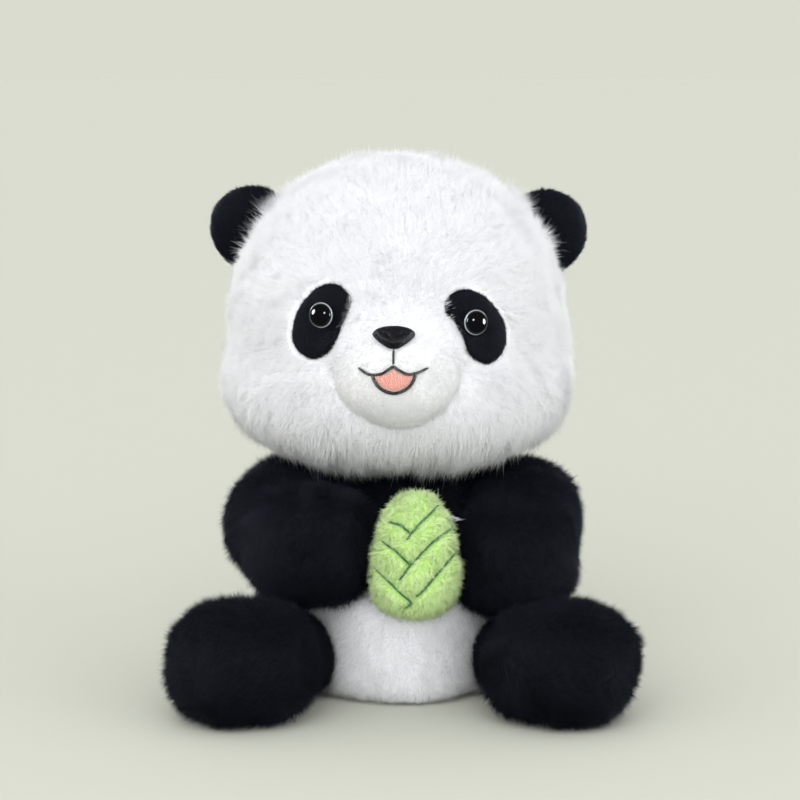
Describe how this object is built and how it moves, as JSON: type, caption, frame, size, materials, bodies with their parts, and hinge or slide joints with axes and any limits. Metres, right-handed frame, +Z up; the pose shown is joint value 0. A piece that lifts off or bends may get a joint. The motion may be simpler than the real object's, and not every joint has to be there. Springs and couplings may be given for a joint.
{
  "type": "plush panda",
  "caption": "Sitting stuffed panda with black limbs and white head and belly, hugging a plush bamboo shoot; head, arms, legs and ears bend at their seams.",
  "frame": {"origin": "on the floor, in the middle of the ground the sitting toy covers", "axes": "+Z up; the panda faces -Y; +X is its own left side"},
  "size_m": [0.189, 0.1618, 0.2255],
  "materials": {
    "white_fur": "long white pile",
    "black_fur": "short black pile",
    "cream_pile": "short off-white pile",
    "lime_pile": "short lime-green pile",
    "filling": "polyester fibre filling",
    "pellet_cloth": "woven bag of plastic pellets",
    "black_thread": "black embroidery thread",
    "green_thread": "dark green embroidery thread",
    "coral_thread": "coral satin stitch",
    "white_thread": "white sewing thread",
    "eye_plastic": "polished black",
    "nose_plastic": "fine textured black",
    "washer_plastic": "natural white"
  },
  "bodies": {
    "torso": {"torso_shell": "black_fur", "belly_shell": "white_fur", "body_stuffing": "filling", "pellet_bag": "pellet_cloth"},
    "neck": {"neck_stuffing": "filling"},
    "head": {"head_shell": "white_fur", "head_stuffing": "filling", "muzzle_panel": "cream_pile", "muzzle_stuffing": "filling", "nose": "nose_plastic", "nose_washer": "washer_plastic", "philtrum_stitch": "black_thread", "mouth_stitch": "black_thread", "lip_stitch": "black_thread", "mouth_fill": "coral_thread", "eye_patch_left": "black_fur", "eye_patch_right": "black_fur", "eye_left": "eye_plastic", "eye_right": "eye_plastic", "eye_washer_left": "washer_plastic", "eye_washer_right": "washer_plastic"},
    "ear_left_body": {"ear_left": "black_fur", "ear_stuffing_left": "filling"},
    "ear_right_body": {"ear_right": "black_fur", "ear_stuffing_right": "filling"},
    "arm_left_body": {"arm_left": "black_fur", "arm_stuffing_left": "filling", "shoot_shell": "lime_pile", "shoot_stuffing": "filling", "shoot_stitch_top": "green_thread", "shoot_stitch_middle": "green_thread", "shoot_stitch_low": "green_thread", "shoot_tack_thread": "white_thread"},
    "arm_right_body": {"arm_right": "black_fur", "arm_stuffing_right": "filling"},
    "leg_left_body": {"leg_left": "black_fur", "leg_stuffing_left": "filling"},
    "leg_right_body": {"leg_right": "black_fur", "leg_stuffing_right": "filling"}
  },
  "joints": [
    {"name": "head_turn", "type": "hinge", "parent": "torso", "child": "neck", "pos_m": [0, 0.036, 0.111], "axis": [0, 0, 1], "range_deg": [-30, 30], "stiffness_Nm_per_rad": 0.8},
    {"name": "head_nod", "type": "hinge", "parent": "neck", "child": "head", "pos_m": [0, 0.036, 0.111], "axis": [-1, 0, 0], "range_deg": [-6, 8], "stiffness_Nm_per_rad": 2.5},
    {"name": "arm_left_open", "type": "hinge", "parent": "torso", "child": "arm_left_body", "pos_m": [0.051, 0.026, 0.071], "axis": [-0.5, 0, 0.866], "range_deg": [0, 30], "stiffness_Nm_per_rad": 0.8},
    {"name": "arm_right_open", "type": "hinge", "parent": "torso", "child": "arm_right_body", "pos_m": [-0.051, 0.026, 0.071], "axis": [-0.1736, 0, -0.9848], "range_deg": [0, 35], "stiffness_Nm_per_rad": 0.8},
    {"name": "leg_left_splay", "type": "hinge", "parent": "torso", "child": "leg_left_body", "pos_m": [0.046, 0.02, 0.0225], "axis": [0, 0, 1], "range_deg": [0, 20], "stiffness_Nm_per_rad": 0.6},
    {"name": "leg_right_splay", "type": "hinge", "parent": "torso", "child": "leg_right_body", "pos_m": [-0.046, 0.02, 0.0225], "axis": [0, 0, -1], "range_deg": [0, 20], "stiffness_Nm_per_rad": 0.6},
    {"name": "ear_left_fold", "type": "hinge", "parent": "head", "child": "ear_left_body", "pos_m": [0.0529, 0.027, 0.1897], "axis": [-0.5446, 0, 0.8387], "range_deg": [-12, 12], "stiffness_Nm_per_rad": 0.08},
    {"name": "ear_right_fold", "type": "hinge", "parent": "head", "child": "ear_right_body", "pos_m": [-0.0602, 0.027, 0.1929], "axis": [0.5592, 0, 0.829], "range_deg": [-12, 12], "stiffness_Nm_per_rad": 0.08}
  ]
}
